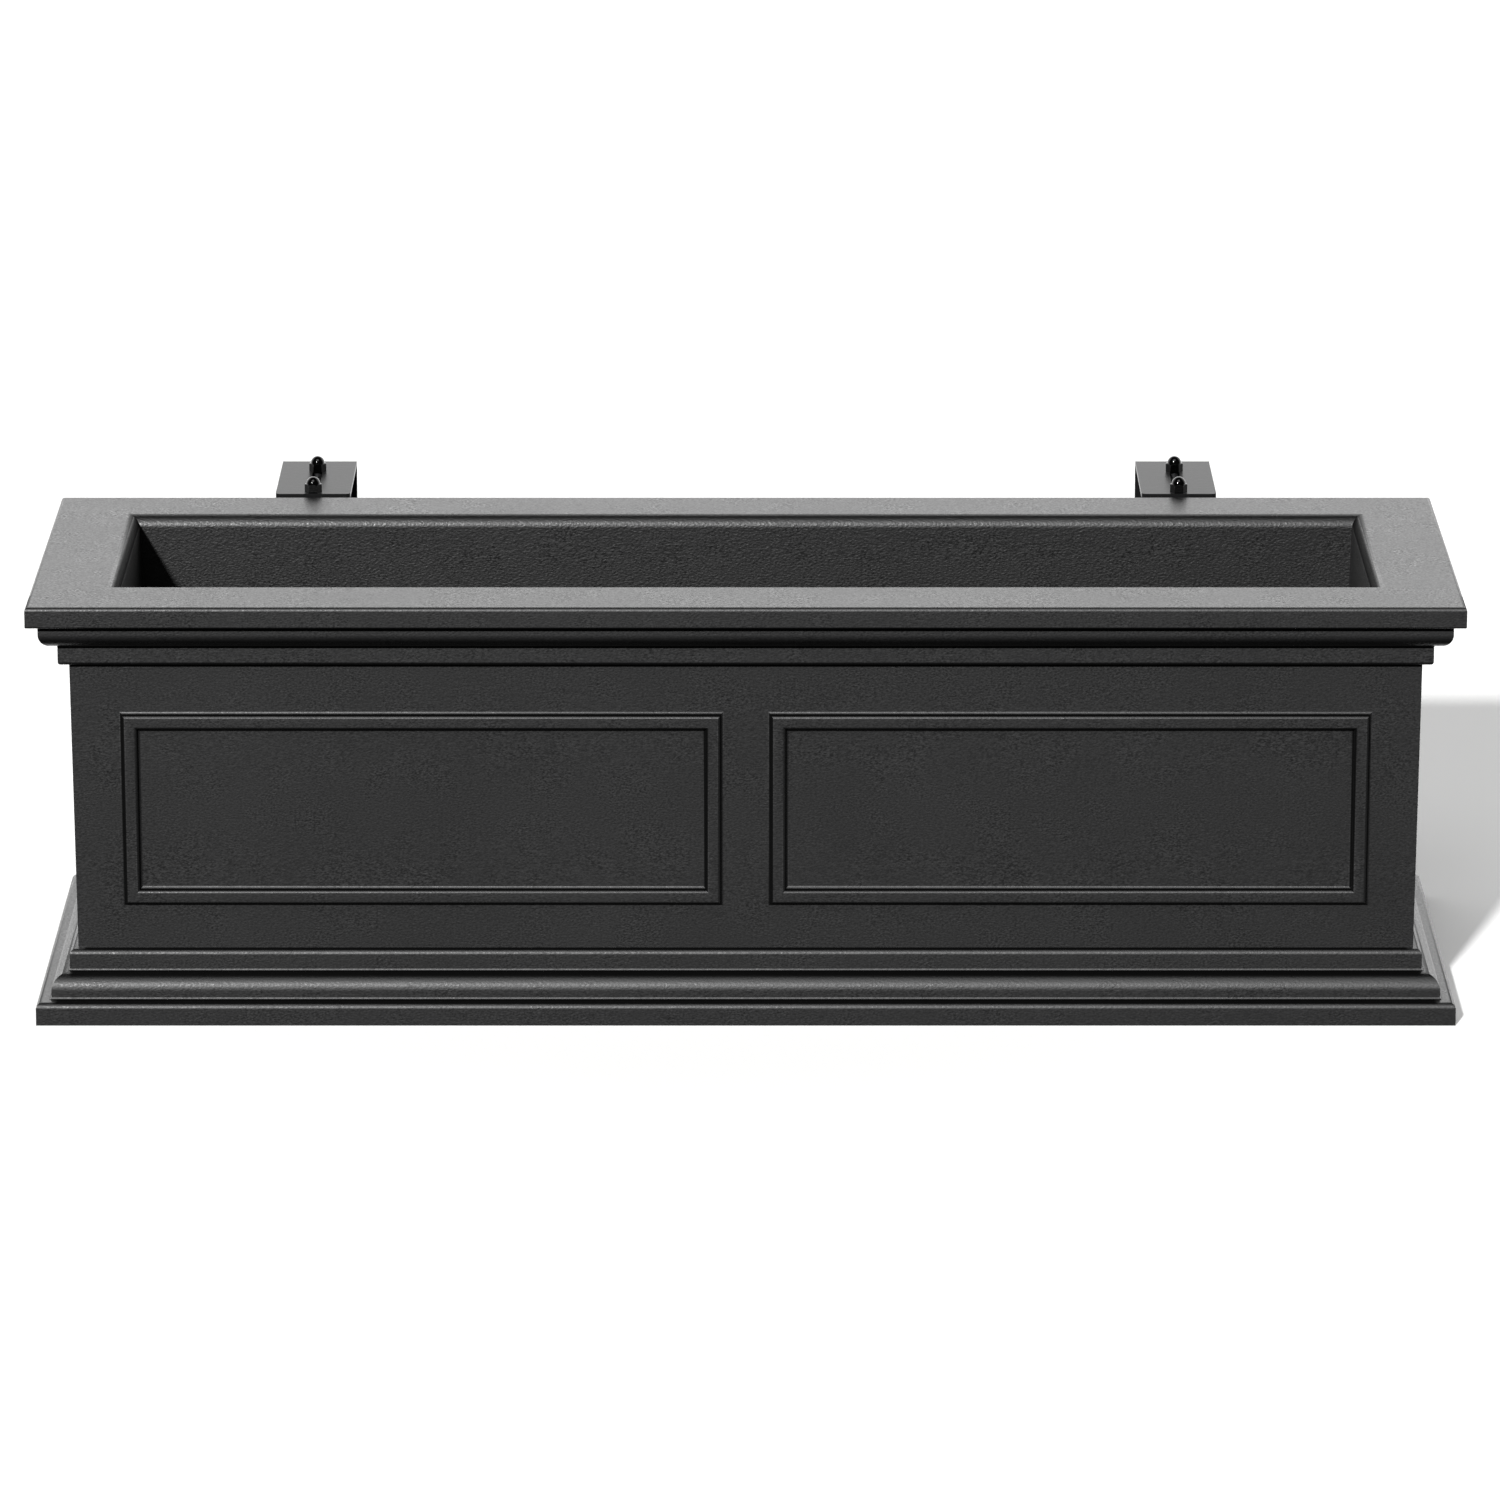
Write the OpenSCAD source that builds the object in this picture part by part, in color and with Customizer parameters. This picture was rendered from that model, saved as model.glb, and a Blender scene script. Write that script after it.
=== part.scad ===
/* [Overall size] */
// Length of the planter over its rim
length = 914; // [800:1:1100]
// Depth of the planter from the front of the rim to the flat back
depth = 300.4; // [270:0.1:380]
// Height of the planter from the ground to the rim
height = 277; // [250:1:340]
// Thickness of the moulded skin
wall = 4; // [3:0.5:5]

/* [Rim and crown moulding] */
// Height of the square fascia round the rim
fascia_h = 13.7; // [11:0.1:18]
// Radius of the fascia's top edge
fascia_top_r = 2.6; // [1:0.1:4]
// Radius of the fascia's lower edge
fascia_drip_r = 1.2; // [0.5:0.1:2]
// Set-back of the quarter round under the fascia
crown_round_inset = 7.5; // [5:0.1:9]
// Height of the quarter round
crown_round_h = 15.3; // [12:0.1:18]
// Radius of the quarter round
crown_round_r = 9.4; // [5:0.1:9.4]
// Set-back of the flat band under the quarter round
crown_band_inset = 18.9; // [18.9:0.1:21]
// Height of the flat band
crown_band_h = 13.6; // [10:0.1:18]
// Radius of the flat band's lower edge
crown_band_r = 2.4; // [1:0.1:3]

/* [Body] */
// Set-back of the body's face at its top
body_top_inset = 25.6; // [24:0.1:28]
// Set-back of the body's face at its foot, which is more because of the draft
body_foot_inset = 27.5; // [25.6:0.1:30]

/* [Base moulding] */
// Set-back of the plinth's face
plinth_inset = 1.3; // [0:0.1:2]
// Height of the plinth
plinth_h = 14.7; // [11:0.1:18]
// Radius of the plinth's top edge
plinth_r = 3.8; // [1:0.1:4]
// Set-back of the base's quarter round
base_round_inset = 10.8; // [8:0.1:11]
// Height of the base's quarter round
base_round_h = 15.9; // [14:0.1:20]
// Radius of the base's quarter round
base_round_r = 10.5; // [6:0.1:11]
// Set-back of the base's upper band
base_band_inset = 22.1; // [21.5:0.1:23]
// Height of the base's upper band
base_band_h = 14; // [10:0.1:18]
// Radius of the upper band's top edge
base_band_r = 3.5; // [1:0.1:3.8]
// Radius of the small coves where the base's steps meet their ledges
cove_r = 1.6; // [0.8:0.1:2]

/* [Panel frames] */
// How far the frames stand proud of the body
frame_rise = 4.5; // [4.4:0.1:5.5]
// Width of a frame's moulding, measured between the middles of its steps
frame_band = 9.4; // [9:0.1:14]
// Radius at the foot and at the edge of each step
frame_r = 2.2; // [1:0.1:2.2]
// Plain margin between a front frame and the body's corner
frame_margin = 32.2; // [24:0.1:44]
// Plain gap between the two front frames
frame_gap = 32.3; // [20:0.1:50]
// Plain margin between an end frame and the body's corners
end_frame_margin = 50; // [40:1:70]
// Plain margin between a frame and the crown moulding
frame_top_margin = 34.1; // [26:0.1:44]
// Plain margin between a frame and the base moulding
frame_foot_margin = 30.1; // [22:0.1:44]

/* [Planting trough] */
// Flat width of the rim at the front
rim_front = 52.4; // [46:0.1:60]
// Flat width of the rim at the back
rim_back = 47.4; // [46:0.1:60]
// Flat width of the rim at each end
rim_end = 47.9; // [46:0.1:60]
// Radius of the rim's inner edge
lip_r = 8.2; // [5:0.1:9]
// Taper of the trough's walls in degrees
trough_taper = 1.8; // [1:0.1:2.4]
// Height of the trough's floor above the ground
trough_floor = 42; // [36:0.5:60]
// Radius between the trough's floor and walls
trough_r = 12; // [6:0.5:16]

/* [Underside and drains] */
// Depth of the shallow recess that leaves a rim to stand on
foot_recess = 3; // [2:0.5:4]
// Width of the rim that the planter stands on
foot_rim = 18; // [12:1:30]
// Corner radius of the recess
foot_recess_r = 10; // [5:1:20]
// Width of the standing rib across the middle of the recess
foot_rib = 36; // [20:1:60]
// Radius of each drain
drain_r = 9; // [7:0.5:11]
// Distance of the outer drains from the trough's ends
drain_margin = 73; // [40:1:120]
// Radius of the moulded pillar round each drain
pillar_r = 20; // [19:0.5:26]
// Depth of the seat that hides a plug's flange
plug_seat_depth = 3.2; // [2.8:0.1:4]
// Gap round a plug's flange in its seat
plug_seat_gap = 1; // [0.5:0.1:1.5]
// Width of the funnel's chamfer at the top of each drain
funnel = 3; // [1:0.5:5]
// Radius of the small hole that vents the hollow wall
vent_r = 2.5; // [2:0.5:4]
// Distance of the vent from the planter's middle
vent_x = 50; // [40:5:70]

/* [Drain plugs] */
// Radius of a plug's flange
plug_flange_r = 14; // [13:0.5:15]
// Thickness of a plug's flange
plug_flange_h = 2.2; // [1.5:0.1:2.5]
// Length of a plug's stem
plug_stem_h = 16; // [10:0.5:20]
// Radius of the stem's tip
plug_tip_r = 2; // [1:0.5:3]
// Running clearance of a stem in its drain
plug_clearance = 0.1; // [0.05:0.01:0.1]
// Length of the grip bar under a plug
plug_grip_l = 18; // [12:1:24]
// Thickness of the grip bar
plug_grip_t = 3; // [2:0.5:4]
// Height of the grip bar
plug_grip_h = 2.6; // [2:0.1:3]

/* [Brackets] */
// Distance of each bracket from the planter's middle
bracket_x = 289.5; // [220:0.5:340]
// Width of the hook's steel strip
hook_w = 50; // [48:1:60]
// Width of the hanger's steel strip
hanger_w = 46; // [40:1:47]
// Thickness of both steel strips
strip_t = 3; // [2.5:0.5:4]
// Inside radius of the strips' bends
bend_r = 2; // [1:0.5:3]
// Radius of the strips' free corners
strip_corner_r = 3; // [1:0.5:6]
// Depth of the hanger's top face below the rim
hanger_drop = 2.2; // [0:0.1:3]
// Length of the hanger's leg down the back of the planter
hanger_leg = 118; // [110:1:140]
// Reach of the hanger's arm behind the planter
hanger_reach = 88; // [86:0.5:90]
// Gap between the planter's back and the hook's front edge
hook_start = 5; // [5:0.5:7]
// Length of the hook's arm
hook_arm = 99; // [94:0.5:110]
// Length of the hook's leg behind the railing
hook_leg = 100; // [80:1:130]
// Radius of the leg's lower corners
hook_corner_r = 10; // [4:1:16]
// Distance of the front clamp bolt from the hook's front edge
front_bolt_edge = 6; // [6:0.5:9]
// Distance between the two clamp bolts with the hook pushed in
clamp_pitch = 60; // [58:0.5:62]
// Nearest distance of the two clamp bolts with the hook drawn out
clamp_nearest = 11; // [11:0.5:14]

/* [Fasteners] */
// Radius of the bolts' shanks
bolt_r = 3; // [2.5:0.1:3.2]
// Clearance of a bolt in its hole or slot
bolt_clearance = 0.3; // [0.2:0.1:0.6]
// Clearance of a bolt's thread in a nut or insert
thread_clearance = 0.05; // [0.02:0.01:0.1]
// Width of the hexagons across their flats
hex_af = 10; // [9.9:0.1:10.4]
// Step in from the flats to the round face on a hexagon
hex_rim = 0.2; // [0.1:0.05:0.2]
// Height of a bolt's head
head_h = 4; // [3:0.1:5]
// Height of a cap nut's hexagon
nut_hex_h = 5.8; // [5:0.1:6]
// Radius of a cap nut's dome
nut_dome_r = 4.7; // [4.4:0.1:4.7]
// Whole height of a cap nut
nut_h = 10.4; // [10.2:0.1:13]
// Depth of a cap nut's blind thread
nut_bore = 8; // [7:0.1:8.2]
// Gap between a clamp bolt's tip and the end of its nut's thread
nut_tip_gap = 1; // [0.5:0.5:1.5]
// Radius of the washers under the mounting bolts
washer_r = 6.25; // [6:0.05:9]
// Thickness of the washers
washer_t = 1.6; // [1:0.1:2]
// Length of a mounting bolt's shank
mount_shank = 16; // [14:0.5:20]
// Depth of the upper mounting bolt below the rim
mount_upper = 60; // [50:1:66]
// Distance between the two mounting bolts
mount_pitch = 40; // [30:1:44]
// Radius of the threaded inserts in the planter's back
insert_r = 5; // [4.5:0.1:6]
// Length of the inserts
insert_l = 14; // [12:0.5:18]
// Width of the groove that locks an insert in the plastic
insert_groove = 3; // [2:0.5:5]
// Depth of that groove
insert_groove_depth = 1; // [0.5:0.1:1.5]
// Depth of the blind hole behind an insert
insert_relief = 3; // [2:0.5:3.5]
// Thickness of plastic round and behind an insert
insert_boss = 6; // [4:0.5:8]

/* [Hidden] */
$fn = 64;

LEFT = -1;
RIGHT = 1;
DRAINS = [-1.5, -0.5, 0.5, 1.5];   // places of the drains, in steps of their pitch
OVER = 1;                          // how far a cutting solid overshoots a face
WEB_OVER = 0.2;                    // how far a corner's web reaches past the corner
HEX_BEVEL = 30;                    // slope of the bevel on a hexagon's corners
TROUGH_ARC = 8;                    // facets of the arc at the foot of the trough's walls
STEP_ARC = 5;                      // facets of each small arc in a frame's steps

half_l = length / 2;
front_y = -depth / 2;
back_y = depth / 2;

// Levels of the mouldings, from the ground up
base_round_top = plinth_h + base_round_h;
base_band_top = base_round_top + base_band_h;
fascia_foot = height - fascia_h;
crown_round_foot = fascia_foot - crown_round_h;
crown_band_foot = crown_round_foot - crown_band_h;

// Lean of the body's faces, and the run of the lip's arc along the rim
body_lean = atan((body_foot_inset - body_top_inset) / (crown_band_foot - base_band_top));
lip_run = lip_r * tan(45 - trough_taper / 2);

// Faces of the trough where they meet the rim's plane
trough_front = front_y + rim_front + lip_run;
trough_back = back_y - rim_back - lip_run;
trough_end = half_l - rim_end - lip_run;

// Distance from each drain to the next along the trough
drain_pitch = 2 * (trough_end - drain_margin) / (len(DRAINS) - 1);

// Heights of the panel frames
frame_top = crown_band_foot - frame_top_margin;
frame_foot = base_band_top + frame_foot_margin;
frame_h = frame_top - frame_foot;
frame_mid = (frame_top + frame_foot) / 2;
frame_sink = 1;                    // how deep a frame is rooted in the body's wall

// Stations of the bracket, measured from the planter's back and from the ground
arm_top = height - hanger_drop;
hook_top = arm_top + strip_t;
hook_front = back_y + hook_start;
hook_back = hook_front + hook_arm;
front_bolt_y = hook_front + front_bolt_edge;
rear_bolt_y = front_bolt_y + clamp_pitch;
hook_travel = clamp_pitch - clamp_nearest;
hole_r = bolt_r + bolt_clearance;
mount_levels = [height - mount_upper, height - mount_upper - mount_pitch];
UPPER = 0;
LOWER = 1;

// Levels under the planter
cavity_floor = foot_recess + wall;
plug_seat = foot_recess + plug_seat_depth;

function inset_at(level) =
    body_foot_inset - (level - base_band_top) * tan(body_lean);

// The stepped outline of an end or front, set inwards by a skin's thickness;
// the first number is the set-back from the rim's face, the second the height
function stepped_outline(skin, foot, run) = [
    [plinth_inset + skin, foot],
    [plinth_inset + skin, plinth_h - skin],
    [base_round_inset + skin, plinth_h - skin],
    [base_round_inset + skin, base_round_top - skin],
    [base_band_inset + skin, base_round_top - skin],
    [base_band_inset + skin, base_band_top - skin],
    [body_foot_inset + skin, base_band_top - skin],
    [body_top_inset + skin, crown_band_foot + skin],
    [crown_band_inset + skin, crown_band_foot + skin],
    [crown_band_inset + skin, crown_round_foot + skin],
    [crown_round_inset + skin, crown_round_foot + skin],
    [crown_round_inset + skin, fascia_foot + skin],
    [skin, fascia_foot + skin],
    [skin, height - skin],
    [run, height - skin],
    [run, foot],
];

// The web of material between a corner and an arc tangent to both of its edges.
// Taken away from a convex corner it rounds it, and added to a hollow one it is a cove.
// p is the corner, and a and b are unit vectors along its two edges.
module web(p, a, b, r) {
    half = acos(a * b) / 2;
    run = r / tan(half);
    centre = p + (a + b) / norm(a + b) * r / sin(half);
    difference() {
        polygon([p - (a + b) * WEB_OVER, p + a * run, centre, p + b * run]);
        translate(centre) circle(r);
    }
}

// Moulded outline of one side, with its rounded edges and coves
module side_section(run) {
    up = [0, 1];
    down = [0, -1];
    in = [1, 0];
    out = [-1, 0];
    difference() {
        union() {
            polygon(stepped_outline(0, 0, run));
            web([base_round_inset, plinth_h], out, up, cove_r);
            web([base_band_inset, base_round_top], out, up, cove_r);
            web([crown_band_inset, crown_round_foot], out, down, cove_r);
            web([crown_round_inset, fascia_foot], out, down, cove_r);
        }
        web([plinth_inset, plinth_h], in, down, plinth_r);
        web([base_round_inset, base_round_top], in, down, base_round_r);
        web([base_band_inset, base_band_top], in, down, base_band_r);
        web([crown_band_inset, crown_band_foot], in, up, crown_band_r);
        web([crown_round_inset, crown_round_foot], in, up, crown_round_r);
        web([0, fascia_foot], in, up, fascia_drip_r);
        web([0, height], in, down, fascia_top_r);
    }
}

// Places a drawing of depth and height as a bar along the length
module along_length(l) {
    rotate([90, 0, 90]) linear_extrude(l, center = true) children();
}

// Places a drawing of length and height as a bar along the depth, from y0 to y1
module along_depth(y0, y1) {
    translate([0, y1, 0]) rotate([90, 0, 0]) linear_extrude(y1 - y0) children();
}

// Outer form: one bar along the length and one along the depth,
// whose common part has the mouldings mitred at its corners and a flat back
module outer_form() {
    intersection() {
        along_length(length) difference() {
            translate([front_y, 0]) side_section(depth);
            web([back_y, height], [-1, 0], [0, -1], fascia_top_r);
        }
        along_depth(front_y, back_y) union() {
            translate([-half_l, 0]) side_section(half_l + OVER);
            mirror([1, 0]) translate([-half_l, 0]) side_section(half_l + OVER);
        }
    }
}

// Points of an arc of radius r tangent to both edges of the corner p, in n facets,
// from the edge along the unit vector a to the edge along the unit vector b
function arc_points(p, a, b, r, n) =
    let (
        half = acos(a * b) / 2,
        centre = p + (a + b) / norm(a + b) * r / sin(half),
        start = p + a * r / tan(half) - centre,
        turn = (180 - 2 * half) * sign(a[0] * b[1] - a[1] * b[0])
    )
    [for (i = [0:n]) let (t = -turn * i / n)
        centre + [start[0] * cos(t) - start[1] * sin(t), start[0] * sin(t) + start[1] * cos(t)]];

// Section of the trough from one wall inwards, with the wall's top edge at x = 0
module trough_side(run) {
    lean = tan(trough_taper);
    foot = (height - trough_floor) * lean;
    down_wall = [sin(trough_taper), -cos(trough_taper)];
    polygon(concat(
        [[-OVER * lean, height + OVER]],
        arc_points([foot, trough_floor], -down_wall, [1, 0], trough_r, TROUGH_ARC),
        [[run, trough_floor], [run, height + OVER]]
    ));
    web([0, height], [-1, 0], down_wall, lip_r);
}

// The same section with sharp corners and grown by the skin
module sharp_side(run) {
    lean = tan(trough_taper);
    reach = wall / cos(trough_taper);
    floor = trough_floor - wall;
    polygon([
        [-reach - OVER * lean, height + OVER],
        [-reach + (height - floor) * lean, floor],
        [run, floor],
        [run, height + OVER],
    ]);
}

// Section of the trough between two walls
module trough_section(lo, hi, rounded) {
    run = (hi - lo) / 2 + OVER;
    translate([lo, 0]) if (rounded) trough_side(run); else sharp_side(run);
    translate([hi, 0]) mirror([1, 0]) if (rounded) trough_side(run); else sharp_side(run);
}

// The trough as a solid: the common part of its long and its short section
module trough(rounded) {
    intersection() {
        along_length(length) trough_section(trough_front, trough_back, rounded);
        along_depth(front_y, back_y) trough_section(-trough_end, trough_end, rounded);
    }
}

// Points up one step of a frame at x: a hollow arc at its foot and a round one at its edge.
// The foot lies on the side that dir gives, and the second number is the height.
function step_points(x, dir) = concat(
    [for (i = [0:STEP_ARC]) let (t = 90 * i / STEP_ARC)
        [x + dir * frame_r * (1 - sin(t)), frame_r * (1 - cos(t))]],
    [for (i = [0:STEP_ARC]) let (t = 90 * i / STEP_ARC)
        [x - dir * frame_r * (1 - cos(t)), frame_rise - frame_r * (1 - sin(t))]]
);

function mirrored(points) = [for (i = [len(points) - 1:-1:0]) [-points[i][0], points[i][1]]];

// Section of a raised plateau, w wide between the middles of its two steps
module plateau_section(w) {
    right = concat([[w / 2 + frame_r, -frame_sink]], step_points(w / 2, 1));
    polygon(concat(right, mirrored(right)));
}

// Section of the sunk field inside a frame, cut right through it
module field_section(w) {
    right = concat(
        [[w / 2 - frame_r, -frame_sink - OVER]],
        step_points(w / 2, -1),
        [[w / 2 + frame_r, frame_rise + OVER]]
    );
    polygon(concat(right, mirrored(right)));
}

// A mitred frame on the plane y = 0, standing out towards -y, w long and h high
module panel_frame(w, h) {
    inner_w = w - 2 * frame_band;
    inner_h = h - 2 * frame_band;
    wide = w + 4 * frame_r;
    high = h + 4 * frame_r;
    difference() {
        intersection() {
            translate([0, 0, -high / 2]) linear_extrude(high) mirror([0, 1]) plateau_section(w);
            translate([-wide / 2, 0, 0]) rotate([0, 90, 0]) linear_extrude(wide)
                mirror([0, 1]) plateau_section(h);
        }
        intersection() {
            translate([0, 0, -high / 2]) linear_extrude(high) mirror([0, 1]) field_section(inner_w);
            translate([-wide / 2, 0, 0]) rotate([0, 90, 0]) linear_extrude(wide)
                mirror([0, 1]) field_section(inner_h);
        }
    }
}

// Two frames on the front and one on each end, leaning with the body's faces
module panel_frames() {
    inset = inset_at(frame_mid);
    front_w = half_l - inset - frame_margin - frame_gap / 2;
    end_w = depth - inset - 2 * end_frame_margin;
    for (side = [LEFT, RIGHT]) {
        translate([side * (frame_gap + front_w) / 2, front_y + inset, frame_mid])
            rotate([body_lean, 0, 0]) panel_frame(front_w, frame_h);
        translate([side * (half_l - inset), inset / 2, frame_mid])
            rotate([0, 0, side * 90]) rotate([body_lean, 0, 0]) panel_frame(end_w, frame_h);
    }
}

// Plan of the two recesses under the planter, with round corners and a rib between them
module foot_recess_plan() {
    w = half_l - plinth_inset - foot_rim - foot_rib / 2;
    d = depth - 2 * (plinth_inset + foot_rim);
    r = foot_recess_r;
    for (side = [LEFT, RIGHT]) translate([side * (foot_rib + w) / 2, 0]) {
        square([w, d - 2 * r], center = true);
        square([w - 2 * r, d], center = true);
        for (sx = [-1, 1], sy = [-1, 1])
            translate([sx * (w / 2 - r), sy * (d / 2 - r)]) circle(r);
    }
}

module drain_places() {
    for (place = DRAINS) translate([place * drain_pitch, 0, 0]) children();
}

// Places of the inserts, with +z turned from the planter's back inwards
module insert_places() {
    for (side = [LEFT, RIGHT], level = mount_levels)
        translate([side * bracket_x, back_y, level]) rotate([90, 0, 0]) children();
}

// The hollow between the two skins, less the pillars and the insert bosses
module hollow_wall() {
    difference() {
        intersection() {
            along_length(length) intersection() {
                translate([front_y, 0]) polygon(stepped_outline(wall, cavity_floor, depth));
                translate([front_y, 0]) square([depth - wall, height]);
            }
            along_depth(front_y, back_y) union() {
                translate([-half_l, 0])
                    polygon(stepped_outline(wall, cavity_floor, half_l + OVER));
                mirror([1, 0]) translate([-half_l, 0])
                    polygon(stepped_outline(wall, cavity_floor, half_l + OVER));
            }
        }
        trough(false);
        drain_places() cylinder(h = trough_floor, r = pillar_r);
        insert_places() cylinder(h = insert_l + insert_boss, r = insert_r + insert_boss);
    }
}

// Everything cut for one drain: bore, funnel and flange seat
module drain_cut() {
    cylinder(h = trough_floor + OVER, r = drain_r);
    translate([0, 0, trough_floor - funnel])
        cylinder(h = funnel + OVER, r1 = drain_r, r2 = drain_r + funnel + OVER);
    cylinder(h = plug_seat, r = plug_flange_r + plug_seat_gap);
}

module planter_shell() {
    color([0.13, 0.13, 0.135]) difference() {
        union() {
            outer_form();
            panel_frames();
        }
        trough(true);
        hollow_wall();
        translate([0, 0, -OVER]) linear_extrude(OVER + foot_recess) foot_recess_plan();
        drain_places() drain_cut();
        translate([vent_x, 0, 0]) cylinder(h = cavity_floor + OVER, r = vent_r);
        insert_places() insert_solid();
        insert_places() cylinder(h = insert_l + insert_relief, r = hole_r);
    }
}

// A push-in plug with a grip bar, which stays above the ground
module drain_plug(place) {
    stem_r = drain_r - plug_clearance;
    color([0.07, 0.07, 0.07]) translate([place * drain_pitch, 0, 0]) {
        translate([0, 0, plug_seat]) rotate_extrude() difference() {
            translate([0, -plug_flange_h]) square([stem_r, plug_flange_h + plug_stem_h]);
            web([stem_r, plug_stem_h], [-1, 0], [0, -1], plug_tip_r);
        }
        translate([0, 0, plug_seat - plug_flange_h]) cylinder(h = plug_flange_h, r = plug_flange_r);
        translate([-plug_grip_l / 2, -plug_grip_t / 2, plug_seat - plug_flange_h - plug_grip_h])
            cube([plug_grip_l, plug_grip_t, plug_grip_h + plug_flange_h / 2]);
    }
}

// Section of a strip bent to a right angle, with its outer corner at the origin
module bent_section(arm, leg) {
    difference() {
        translate([0, -leg]) square([arm, leg]);
        difference() {
            translate([strip_t, -leg - OVER]) square([arm, leg - strip_t + OVER]);
            web([strip_t, -strip_t], [1, 0], [0, -1], bend_r);
        }
        web([0, 0], [1, 0], [0, -1], bend_r + strip_t);
    }
}

// The webs that round the two free corners of a strip w wide, on the strip's plane
module corner_cuts(w, end, r) {
    for (s = [-1, 1])
        web([s * w / 2, end], [-s, 0], [0, -1], r);
}

// A through slot for a bolt that travels from y0 to y1
module bolt_slot(y0, y1, top) {
    h = strip_t + 2 * OVER;
    translate([0, 0, top - strip_t - OVER]) {
        for (y = [y0, y1]) translate([0, y, 0]) cylinder(h = h, r = hole_r);
        translate([-hole_r, y0, 0]) cube([2 * hole_r, y1 - y0, h]);
    }
}

module bolt_hole(y, top) {
    translate([0, y, top - strip_t - OVER]) cylinder(h = strip_t + 2 * OVER, r = hole_r);
}

// The fixed angle that is bolted to the planter's back.
// Its slot lets the hook's own bolt travel, and its hole holds the rear bolt.
module hanger(side) {
    color([0.22, 0.22, 0.225]) translate([side * bracket_x, 0, 0]) difference() {
        translate([0, back_y, arm_top]) along_length(hanger_w) bent_section(hanger_reach, hanger_leg);
        translate([0, back_y, arm_top - strip_t - OVER]) linear_extrude(strip_t + 2 * OVER)
            corner_cuts(hanger_w, hanger_reach, strip_corner_r);
        translate([0, back_y + strip_t + OVER, arm_top - hanger_leg]) rotate([90, 0, 0])
            linear_extrude(strip_t + 2 * OVER) mirror([0, 1])
                corner_cuts(hanger_w, 0, hook_corner_r);
        bolt_slot(front_bolt_y, front_bolt_y + hook_travel, arm_top);
        bolt_hole(rear_bolt_y, arm_top);
        for (level = mount_levels)
            translate([0, back_y + strip_t + OVER, level]) rotate([90, 0, 0])
                cylinder(h = strip_t + 2 * OVER, r = hole_r);
    }
}

// The sliding angle that goes over the railing and down behind it.
// Its hole holds the front bolt, and its slot passes over the rear bolt.
module hook(side) {
    color([0.22, 0.22, 0.225]) translate([side * bracket_x, 0, 0]) difference() {
        translate([0, hook_back, hook_top]) along_length(hook_w)
            mirror([1, 0]) bent_section(hook_arm, hook_leg);
        translate([0, hook_front, hook_top - strip_t - OVER]) linear_extrude(strip_t + 2 * OVER)
            mirror([0, 1]) corner_cuts(hook_w, 0, strip_corner_r);
        translate([0, hook_back + OVER, hook_top - hook_leg]) rotate([90, 0, 0])
            linear_extrude(strip_t + 2 * OVER) mirror([0, 1]) corner_cuts(hook_w, 0, hook_corner_r);
        bolt_hole(front_bolt_y, hook_top);
        bolt_slot(rear_bolt_y - hook_travel, rear_bolt_y, hook_top);
    }
}

// A hexagon with flats at front and back, and the corners of its top bevelled
module hexagon(h) {
    face_r = hex_af / 2 - hex_rim;
    intersection() {
        cylinder(h = h, r = hex_af / 2 / cos(30), $fn = 6);
        cylinder(h = h, r1 = face_r + h / tan(HEX_BEVEL), r2 = face_r);
    }
}

// A bolt along +z with its head below the plane z = 0
module hex_bolt(shank) {
    cylinder(h = shank, r = bolt_r);
    mirror([0, 0, 1]) hexagon(head_h);
}

module clamp_bolt(side, y) {
    grip = 2 * strip_t;
    color([0.05, 0.05, 0.05]) translate([side * bracket_x, y, arm_top - strip_t])
        hex_bolt(grip + nut_bore - nut_tip_gap);
}

// A domed nut standing on the hook
module cap_nut(side, y) {
    color([0.03, 0.03, 0.03]) translate([side * bracket_x, y, hook_top]) difference() {
        union() {
            hexagon(nut_hex_h);
            cylinder(h = nut_h - nut_dome_r, r = nut_dome_r);
            translate([0, 0, nut_h - nut_dome_r]) sphere(nut_dome_r);
        }
        translate([0, 0, -OVER]) cylinder(h = nut_bore + OVER, r = bolt_r + thread_clearance);
    }
}

// The insert's body along +z from its mouth, with a locking groove round its middle
module insert_solid() {
    difference() {
        cylinder(h = insert_l, r = insert_r);
        translate([0, 0, (insert_l - insert_groove) / 2]) difference() {
            cylinder(h = insert_groove, r = insert_r + OVER);
            cylinder(h = insert_groove, r = insert_r - insert_groove_depth);
        }
    }
}

module insert(side, level) {
    color([0.72, 0.6, 0.32])
        translate([side * bracket_x, back_y, mount_levels[level]]) rotate([90, 0, 0]) difference() {
            insert_solid();
            translate([0, 0, -OVER])
                cylinder(h = insert_l + 2 * OVER, r = bolt_r + thread_clearance);
        }
}

module washer(side, level) {
    color([0.05, 0.05, 0.05])
        translate([side * bracket_x, back_y + strip_t + washer_t, mount_levels[level]])
            rotate([90, 0, 0]) difference() {
                cylinder(h = washer_t, r = washer_r);
                translate([0, 0, -OVER]) cylinder(h = washer_t + 2 * OVER, r = hole_r);
            }
}

module mounting_bolt(side, level) {
    color([0.05, 0.05, 0.05])
        translate([side * bracket_x, back_y + strip_t + washer_t, mount_levels[level]])
            rotate([90, 0, 0]) hex_bolt(mount_shank);
}

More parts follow.
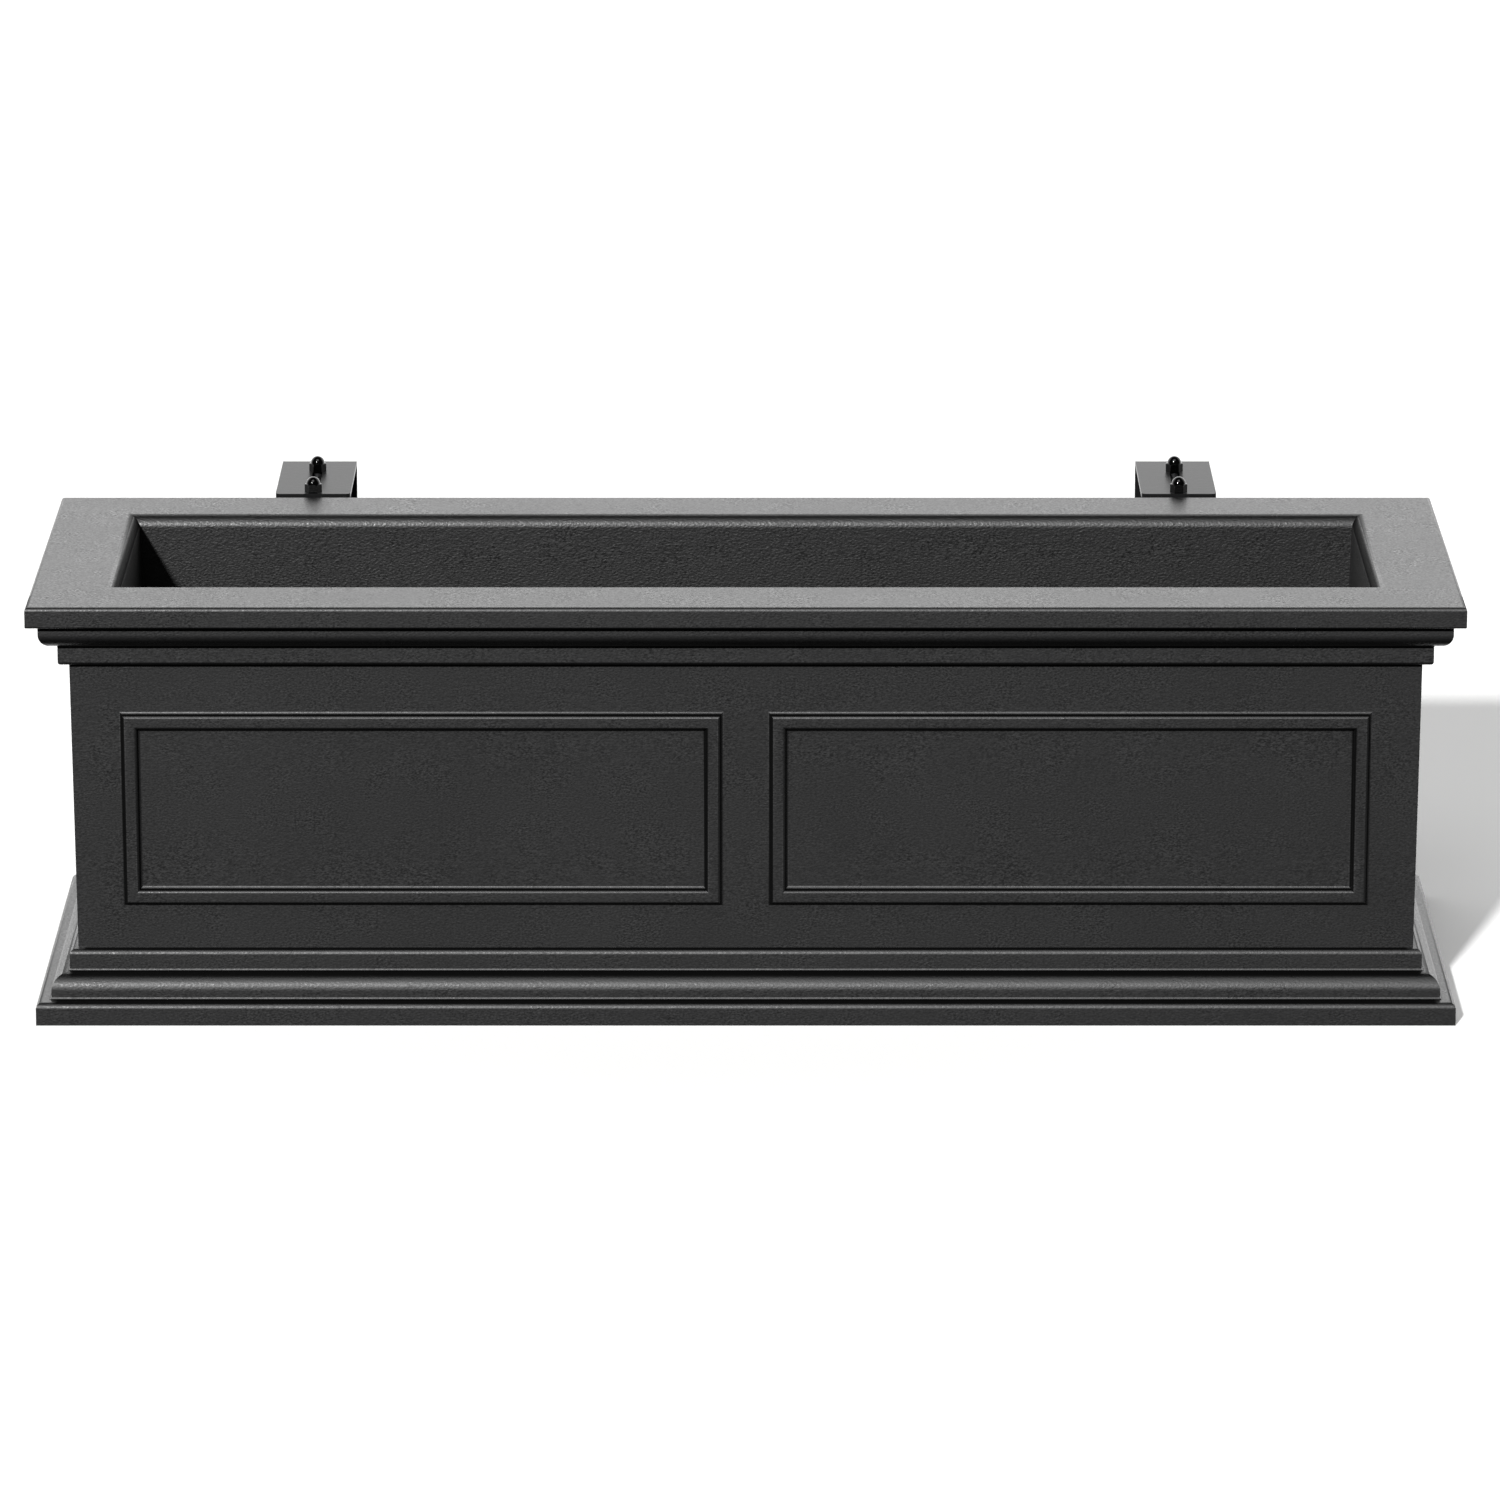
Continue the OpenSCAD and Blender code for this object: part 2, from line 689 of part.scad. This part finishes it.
planter_shell();
drain_plug(DRAINS[0]);  // left_outer_drain_plug
drain_plug(DRAINS[1]);  // left_inner_drain_plug
drain_plug(DRAINS[2]);  // right_inner_drain_plug
drain_plug(DRAINS[3]);  // right_outer_drain_plug
hanger(LEFT);  // left_hanger
hook(LEFT);  // left_hook
clamp_bolt(LEFT, front_bolt_y);  // left_front_clamp_bolt
clamp_bolt(LEFT, rear_bolt_y);  // left_rear_clamp_bolt
cap_nut(LEFT, front_bolt_y);  // left_front_cap_nut
cap_nut(LEFT, rear_bolt_y);  // left_rear_cap_nut
insert(LEFT, UPPER);  // left_upper_insert
insert(LEFT, LOWER);  // left_lower_insert
washer(LEFT, UPPER);  // left_upper_washer
washer(LEFT, LOWER);  // left_lower_washer
mounting_bolt(LEFT, UPPER);  // left_upper_mounting_bolt
mounting_bolt(LEFT, LOWER);  // left_lower_mounting_bolt
hanger(RIGHT);  // right_hanger
hook(RIGHT);  // right_hook
clamp_bolt(RIGHT, front_bolt_y);  // right_front_clamp_bolt
clamp_bolt(RIGHT, rear_bolt_y);  // right_rear_clamp_bolt
cap_nut(RIGHT, front_bolt_y);  // right_front_cap_nut
cap_nut(RIGHT, rear_bolt_y);  // right_rear_cap_nut
insert(RIGHT, UPPER);  // right_upper_insert
insert(RIGHT, LOWER);  // right_lower_insert
washer(RIGHT, UPPER);  // right_upper_washer
washer(RIGHT, LOWER);  // right_lower_washer
mounting_bolt(RIGHT, UPPER);  // right_upper_mounting_bolt
mounting_bolt(RIGHT, LOWER);  // right_lower_mounting_bolt
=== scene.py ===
import math

import bpy
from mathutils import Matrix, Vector

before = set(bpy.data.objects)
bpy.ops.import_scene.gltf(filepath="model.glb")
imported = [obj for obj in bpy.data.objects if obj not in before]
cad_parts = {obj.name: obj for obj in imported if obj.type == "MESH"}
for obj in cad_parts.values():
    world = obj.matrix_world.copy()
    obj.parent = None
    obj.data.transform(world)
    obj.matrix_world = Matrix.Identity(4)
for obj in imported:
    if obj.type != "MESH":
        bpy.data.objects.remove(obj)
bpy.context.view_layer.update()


# ---- The view ----
# The planter is seen from straight in front and a little above, from more than five
# metres away through a long lens, so that its ends hardly run together.

PICTURE = 1500
FOCAL_PIXELS = 8334.2
SENSOR = 36.0
SIGHT_END = 100
CAMERA_PLACE = (0.0027, -5.2639, 1.5824)
DOWN = math.radians(15.296)

lens = bpy.data.cameras.new("camera")
lens.sensor_width = SENSOR
lens.lens = SENSOR * FOCAL_PIXELS / PICTURE
lens.clip_end = SIGHT_END
camera = bpy.data.objects.new("camera", lens)
camera.location = CAMERA_PLACE
camera.rotation_euler = (math.pi / 2 - DOWN, 0, 0)
bpy.context.scene.collection.objects.link(camera)
bpy.context.scene.camera = camera


# ---- The studio ----
# A plain pale floor, a key light from the front left, a soft light high in front, and a
# white surround behind the planter that shows in all that lies flat. The front is dim.

bpy.context.scene.view_settings.view_transform = "Standard"


class Signal:
    """One output in a node tree, which Python's own signs work on."""

    def __init__(self, recipe, socket):
        self.recipe = recipe
        self.socket = socket

    def math(self, operation, first, second):
        inputs = {0: first, 1: second}
        return self.recipe.node("ShaderNodeMath", {"operation": operation}, inputs)

    def other(self, name):
        """Another output of the same node."""
        return Signal(self.recipe, self.socket.node.outputs[name])

    def __add__(self, value):
        return self.math("ADD", self, value)

    def __sub__(self, value):
        return self.math("SUBTRACT", self, value)

    def __mul__(self, value):
        return self.math("MULTIPLY", self, value)

    def __pow__(self, value):
        return self.math("POWER", self, value)

    def __rsub__(self, value):
        return self.math("SUBTRACT", value, self)

    def __neg__(self):
        return self.math("MULTIPLY", self, -1.0)

    __radd__ = __add__
    __rmul__ = __mul__

    def clamp(self):
        """The same, but never below 0 or above 1."""
        return self.math("MINIMUM", self.math("MAXIMUM", self, 0.0), 1.0)

    def step(self, low, high):
        """0 below low and 1 above high, with a soft rise between them."""
        return self.recipe.node(
            "ShaderNodeMapRange",
            {"interpolation_type": "SMOOTHSTEP"},
            {"Value": self, "From Min": low, "From Max": high},
        )


class Recipe:
    """The node tree of one finish, or of the surround."""

    def __init__(self, owner):
        owner.use_nodes = True
        self.tree = owner.node_tree
        self.tree.nodes.clear()

    def node(self, kind, settings=None, inputs=None, out=0):
        """Adds a node, sets it up, fills or links its inputs and gives one output."""
        made = self.tree.nodes.new(kind)
        for name, value in (settings or {}).items():
            setattr(made, name, value)
        for name, value in (inputs or {}).items():
            if isinstance(value, Signal):
                self.tree.links.new(value.socket, made.inputs[name])
            else:
                made.inputs[name].default_value = value
        return Signal(self, made.outputs[out]) if made.outputs else None

    def mix(self, first, second, share):
        """A colour between two, all of the second where share is 1."""
        return self.node(
            "ShaderNodeMix", {"data_type": "RGBA"}, {0: share, 6: first, 7: second}, 2
        )

    def noise(self, places, scale, detail, rough, warp=0.0):
        inputs = {
            "Vector": places,
            "Scale": scale,
            "Detail": detail,
            "Roughness": rough,
            "Distortion": warp,
        }
        return self.node("ShaderNodeTexNoise", {}, inputs, "Fac")


FLOOR_REACH = 30.0
FLOOR_TINT = (0.87, 0.87, 0.865, 1.0)
FLOOR_GLOW = 0.13


def floor_sheet():
    """A pale sheet that takes shadows, throws no light back and is clear from below."""
    mesh = bpy.data.meshes.new("studio_floor")
    corners = [(-1, -1), (1, -1), (1, 1), (-1, 1)]
    places = [(x * FLOOR_REACH, y * FLOOR_REACH, 0.0) for x, y in corners]
    mesh.from_pydata(places, [], [(0, 1, 2, 3)])
    floor = bpy.data.objects.new("studio_floor", mesh)
    bpy.context.scene.collection.objects.link(floor)
    paint = bpy.data.materials.new("pale_floor_paint")
    recipe = Recipe(paint)
    paint_coat = recipe.node("ShaderNodeBsdfDiffuse", {}, {"Color": FLOOR_TINT})
    glow = recipe.node("ShaderNodeEmission", {}, {"Color": FLOOR_TINT, "Strength": FLOOR_GLOW})
    pale = recipe.node("ShaderNodeAddShader", {}, {0: paint_coat, 1: glow})
    clear = recipe.node("ShaderNodeBsdfTransparent")
    below = recipe.node("ShaderNodeNewGeometry", out="Backfacing")
    both = recipe.node("ShaderNodeMixShader", {}, {0: below, 1: pale, 2: clear})
    recipe.node("ShaderNodeOutputMaterial", {}, {"Surface": both})
    mesh.materials.append(paint)
    floor.visible_diffuse = False
    floor.visible_glossy = False
    return floor


floor_sheet()

KEY_WAY = (0.32, 1.0, -0.53)
KEY_POWER = 5.45
KEY_SPREAD = math.radians(3.0)
HIGH_WAY = (0.05, 1.0, -1.6)
HIGH_POWER = 0.7
HIGH_SPREAD = math.radians(35.0)


def far_light(name, way, power, spread):
    data = bpy.data.lights.new(name, "SUN")
    data.energy = power
    data.angle = spread
    light = bpy.data.objects.new(name, data)
    light.rotation_euler = Vector(way).to_track_quat("-Z", "Y").to_euler()
    bpy.context.scene.collection.objects.link(light)


far_light("key_light", KEY_WAY, KEY_POWER, KEY_SPREAD)
far_light("high_light", HIGH_WAY, HIGH_POWER, HIGH_SPREAD)

# The surround is dim in front and overhead and white behind. The camera alone sees it in
# one pale tone all round.
FRONT_DIM = 0.02
BEHIND_WHITE = 2.43
BEHIND_BORDER = (-0.1, 0.8)
OVERHEAD_BORDER = (0.5, 0.85)

world = bpy.data.worlds.new("studio")
bpy.context.scene.world = world
surround = Recipe(world)
way = surround.node("ShaderNodeTexCoord", out="Generated")
backward = surround.node("ShaderNodeSeparateXYZ", {}, {0: way}, "Y")
upward = backward.other("Z")
behind = backward.step(*BEHIND_BORDER) * (1 - upward.step(*OVERHEAD_BORDER))
seen = surround.node("ShaderNodeLightPath", out="Is Camera Ray")
strength = FRONT_DIM + (BEHIND_WHITE - FRONT_DIM) * behind
strength = strength * (1 - seen) + seen
glow = surround.node("ShaderNodeBackground", {}, {"Strength": strength})
surround.node("ShaderNodeOutputWorld", {}, {"Surface": glow})


# ---- The planter ----
# One hollow, double-walled moulding of dark grey plastic. The mould's sides leave a fine
# orange-peel grain on every face, inside and out.

PLASTIC_DARK = (0.0075, 0.0075, 0.0076, 1.0)
PLASTIC_LIGHT = (0.0108, 0.0108, 0.011, 1.0)
# Painted shade: a darker tint for faces that look up or down and for the trough's walls, and a
# matt black mixed over the ledges and side edges in front.
PLASTIC_SHADE_TINT = (0.0015, 0.0015, 0.0015, 1.0)
PLASTIC_SHADE_BLACK = (0.002, 0.002, 0.002, 1.0)
PLASTIC_ROUGHNESS = 0.452
# How much of the painted shade's matt black goes on the ledges and on the side edges.
LEDGE_SHADE = 0.9
SIDE_SHADE = 0.85

PEEL_SCALE = 800
PEEL_DEPTH = 0.00025
PORE_SCALE = 1100
PATCH_SCALE = 45
CLOUD_SCALE = 14
GRAIN_STRETCH = (0.6, 1.0, 1.0)

# Soft borders on the moulding, in metres, each from where it begins to where it ends.
# The first two are heights above the ground. The next three are depths, which run from
# the rim's front at -0.15 to the flat back at 0.15.
RIM_BORDER = (0.262, 0.268)
BASE_BORDER = (0.05, 0.055)
FRONT_BORDER = (-0.121, -0.115)
TROUGH_FRONT = (-0.1, -0.08)
TROUGH_BACK = (0.11, 0.12)
# Just past the panels' outer ends, as the square of the distance from the middle.
PANEL_BORDER = (0.175, 0.18)
# The mitred corners of the base, whose border leans towards the middle as it rises.
MITRE_BORDER = (0.4505, 0.454)
MITRE_LEAN = 0.6


def coat(finish, tint, roughness, height, depth, strength=1.0, painted_shade=None, **more):
    """Ends a recipe in one plain surface with its relief, mixed into a matt black of painted
    shade by the given share.
    """
    relief = finish.node(
        "ShaderNodeBump", {}, {"Strength": strength, "Distance": depth, "Height": height}
    )
    inputs = {"Base Color": tint, "Roughness": roughness, "Normal": relief}
    inputs.update({name.replace("_", " "): value for name, value in more.items()})
    surface = finish.node("ShaderNodeBsdfPrincipled", {}, inputs)
    if painted_shade is not None:
        black = finish.node("ShaderNodeBsdfDiffuse", {}, {"Color": PLASTIC_SHADE_BLACK})
        surface = finish.node("ShaderNodeMixShader", {}, {0: painted_shade, 1: surface, 2: black})
    finish.node("ShaderNodeOutputMaterial", {}, {"Surface": surface})


def moulded_plastic():
    """Grey plastic, smoother on top, with painted shade: a darker tint on faces that look up
    or down and on the trough's walls, and matt black on the ledges and edges in front.
    """
    finish = bpy.data.materials.new("grained_grey_plastic")
    recipe = Recipe(finish)
    places = recipe.node("ShaderNodeTexCoord", out="Object")
    height = recipe.node("ShaderNodeSeparateXYZ", {}, {0: places}, "Z")
    depth = height.other("Y")
    length_squared = height.other("X") * height.other("X")
    facing = recipe.node("ShaderNodeNewGeometry", out="Normal")
    up = recipe.node("ShaderNodeSeparateXYZ", {}, {0: facing}, "Z")
    right = up.other("X")
    turned = right * right

    # The way that a face looks: up, down, or up or left, where the key light is.
    flat = up.step(0.7, 0.95)
    under = (-up).step(0.1, 0.65)
    lit = (up.step(0.1, 0.4) + (-right).step(0.0, 0.1)).clamp()

    # Where it is: in the trough, or on the front without the base's corners.
    inside = depth.step(*TROUGH_FRONT) * (1 - depth.step(*TROUGH_BACK))
    inside = inside * (1 - flat) * (1 - turned.step(0.5, 0.9))
    corner = length_squared**0.5 + MITRE_LEAN * height
    corner = corner.step(*MITRE_BORDER) * (1 - height.step(*BASE_BORDER))
    front = (1 - depth.step(*FRONT_BORDER)) * (1 - corner)

    # Painted shade: matt black mixed over the narrow ledges under the rim and over the edges
    # that turn towards the planter's ends.
    ledge_shade = up.step(0.7, 0.92) * (1 - height.step(*RIM_BORDER)) * front
    shaded = (front + 1 - length_squared.step(*PANEL_BORDER)).clamp()
    side_shade = turned.step(0.05, 0.4) * (1 - turned.step(0.9, 0.98)) * lit * shaded
    painted_shade = (LEDGE_SHADE * ledge_shade + SIDE_SHADE * side_shade).clamp()

    wide = recipe.node(
        "ShaderNodeVectorMath", {"operation": "MULTIPLY"}, {0: places, 1: GRAIN_STRETCH}
    )
    peel = recipe.noise(wide, PEEL_SCALE, detail=2.0, rough=0.55)
    pores = recipe.noise(wide, PORE_SCALE, detail=1.0, rough=0.5, warp=0.3)
    cloud = recipe.noise(places, CLOUD_SCALE, detail=3.0, rough=0.6)
    patches = recipe.noise(places, PATCH_SCALE, detail=1.0, rough=0.5)
    patches = patches.step(0.35, 0.75) * 0.9 + 0.6

    tint = recipe.mix(PLASTIC_DARK, PLASTIC_LIGHT, (cloud * 0.5 + pores * 0.5).clamp())
    # Painted shade: faces that look up or down, and the trough's walls, are tinted darker.
    tint = recipe.mix(tint, PLASTIC_SHADE_TINT, (flat + under + 0.8 * inside).clamp())
    roughness = PLASTIC_ROUGHNESS - 0.08 * flat - 0.14 * under - 0.02 * inside
    roughness = roughness + (pores - 0.5) * patches * 0.5 + (cloud - 0.5) * 0.04
    relief = (0.32 + 0.25 * patches + 0.7 * inside - 0.08 * flat).clamp()
    coat(recipe, tint, roughness, peel, PEEL_DEPTH, relief, painted_shade)
    return finish


def wear(material, names):
    """Gives CAD pieces their finish."""
    for name in names:
        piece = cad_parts[name]
        piece.data.materials.clear()
        piece.data.materials.append(material)


WELD_REACH = 0.000002
SHARP = math.radians(33)
FACE_WEIGHT = 100


def soften(names, width, facets):
    """Rounds the sharp edges of CAD pieces without touching their meshes."""
    for name in names:
        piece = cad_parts[name]
        weld = piece.modifiers.new("weld", "WELD")
        weld.merge_threshold = WELD_REACH
        bevel = piece.modifiers.new("soft_edges", "BEVEL")
        bevel.width = width
        bevel.segments = facets
        bevel.limit_method = "ANGLE"
        bevel.angle_limit = SHARP
        bevel.use_clamp_overlap = True
        shading = piece.modifiers.new("even_shading", "WEIGHTED_NORMAL")
        shading.mode = "FACE_AREA"
        shading.weight = FACE_WEIGHT


MOULDING_EDGE = 0.0016

wear(moulded_plastic(), ["planter_shell"])
soften(["planter_shell"], MOULDING_EDGE, facets=3)


# ---- The drain plugs ----
# Four soft black rubber plugs that push into the drains from below, each with a bar to
# grip it by.

RUBBER_DARK = (0.012, 0.012, 0.012, 1.0)
RUBBER_LIGHT = (0.024, 0.024, 0.023, 1.0)
RUBBER_ROUGHNESS = 0.62
RUBBER_GRAIN = 0.0001


def plug_rubber():
    finish = bpy.data.materials.new("soft_black_rubber")
    recipe = Recipe(finish)
    places = recipe.node("ShaderNodeTexCoord", out="Object")
    dust = recipe.noise(places, scale=900, detail=3.0, rough=0.6)
    cloud = recipe.noise(places, scale=60, detail=2.0, rough=0.5)
    tint = recipe.mix(RUBBER_DARK, RUBBER_LIGHT, cloud)
    coat(recipe, tint, RUBBER_ROUGHNESS + (dust - 0.5) * 0.2, dust, RUBBER_GRAIN)
    return finish


wear(plug_rubber(), [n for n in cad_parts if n.endswith("drain_plug")])


# ---- The threaded inserts ----
# Brass inserts moulded into the planter's back, which the brackets' bolts screw into.

BRASS_DARK = (0.52, 0.38, 0.15, 1.0)
BRASS_LIGHT = (0.72, 0.55, 0.26, 1.0)
BRASS_ROUGHNESS = 0.3
BRASS_RINGS = 0.00005


def turned_brass():
    finish = bpy.data.materials.new("turned_brass")
    recipe = Recipe(finish)
    places = recipe.node("ShaderNodeTexCoord", out="Object")
    rings = recipe.noise(places, scale=700, detail=2.0, rough=0.5)
    cloud = recipe.noise(places, scale=150, detail=2.0, rough=0.5)
    tint = recipe.mix(BRASS_DARK, BRASS_LIGHT, cloud)
    roughness = BRASS_ROUGHNESS + (rings - 0.5) * 0.2
    coat(recipe, tint, roughness, rings, BRASS_RINGS, Metallic=1.0)
    return finish


wear(turned_brass(), [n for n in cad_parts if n.endswith("insert")])


# ---- The brackets ----
# Each is a pair of flat steel strips bent square and powder-coated dark grey: a hanger
# on the planter's back, and a hook that slides on it and goes over the railing.

POWDER_DARK = (0.004, 0.004, 0.0041, 1.0)
POWDER_LIGHT = (0.009, 0.009, 0.0092, 1.0)
POWDER_ROUGHNESS = 0.34
POWDER_SHEEN = 0.11
POWDER_GRAIN = 0.00006
STRIP_EDGE = 0.0003


def powder_coat():
    finish = bpy.data.materials.new("powder_coated_steel")
    recipe = Recipe(finish)
    places = recipe.node("ShaderNodeTexCoord", out="Object")
    powder = recipe.noise(places, scale=1500, detail=2.0, rough=0.5)
    flow = recipe.noise(places, scale=260, detail=2.0, rough=0.5)
    tint = recipe.mix(POWDER_DARK, POWDER_LIGHT, powder)
    roughness = POWDER_ROUGHNESS + (powder - 0.5) * 0.08
    relief = flow + powder * 0.4
    coat(recipe, tint, roughness, relief, POWDER_GRAIN, Specular_IOR_Level=POWDER_SHEEN)
    return finish


STRIPS = [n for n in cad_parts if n.endswith(("hanger", "hook"))]
wear(powder_coat(), STRIPS)
soften(STRIPS, STRIP_EDGE, facets=2)


# ---- The bolts and washers ----
# Blackened steel bolts and washers that hold the hangers to the planter's back, and the
# like bolts that clamp each hook to its hanger.

STEEL_DARK = (0.02, 0.02, 0.022, 1.0)
STEEL_LIGHT = (0.05, 0.05, 0.052, 1.0)
STEEL_ROUGHNESS = 0.38
STEEL_GRAIN = 0.00004
STEEL_BARE = 0.7
BOLT_EDGE = 0.0002


def blackened_steel():
    finish = bpy.data.materials.new("blackened_steel")
    recipe = Recipe(finish)
    places = recipe.node("ShaderNodeTexCoord", out="Object")
    film = recipe.noise(places, scale=1200, detail=3.0, rough=0.6)
    cloud = recipe.noise(places, scale=220, detail=2.0, rough=0.5)
    tint = recipe.mix(STEEL_DARK, STEEL_LIGHT, cloud)
    roughness = STEEL_ROUGHNESS + (film - 0.5) * 0.2
    coat(recipe, tint, roughness, film, STEEL_GRAIN, Metallic=STEEL_BARE)
    return finish


BOLTS = [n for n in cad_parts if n.endswith(("washer", "bolt"))]
wear(blackened_steel(), BOLTS)
soften(BOLTS, BOLT_EDGE, facets=2)


# ---- The cap nuts ----
# Domed nuts in gloss black that close the clamp bolts on top of each hook.

GLOSS_DARK = (0.0004, 0.0004, 0.0004, 1.0)
GLOSS_LIGHT = (0.0009, 0.0009, 0.0009, 1.0)
GLOSS_ROUGHNESS = 0.08
GLOSS_SHINE = 0.45
GLOSS_HAZE = 0.000005


def gloss_black():
    finish = bpy.data.materials.new("gloss_black_nut")
    recipe = Recipe(finish)
    places = recipe.node("ShaderNodeTexCoord", out="Object")
    haze = recipe.noise(places, scale=500, detail=2.0, rough=0.5)
    tint = recipe.mix(GLOSS_DARK, GLOSS_LIGHT, haze)
    roughness = GLOSS_ROUGHNESS + (haze - 0.5) * 0.04
    coat(recipe, tint, roughness, haze, GLOSS_HAZE, Specular_IOR_Level=GLOSS_SHINE)
    return finish


NUTS = [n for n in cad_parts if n.endswith("cap_nut")]
wear(gloss_black(), NUTS)
soften(NUTS, BOLT_EDGE, facets=2)
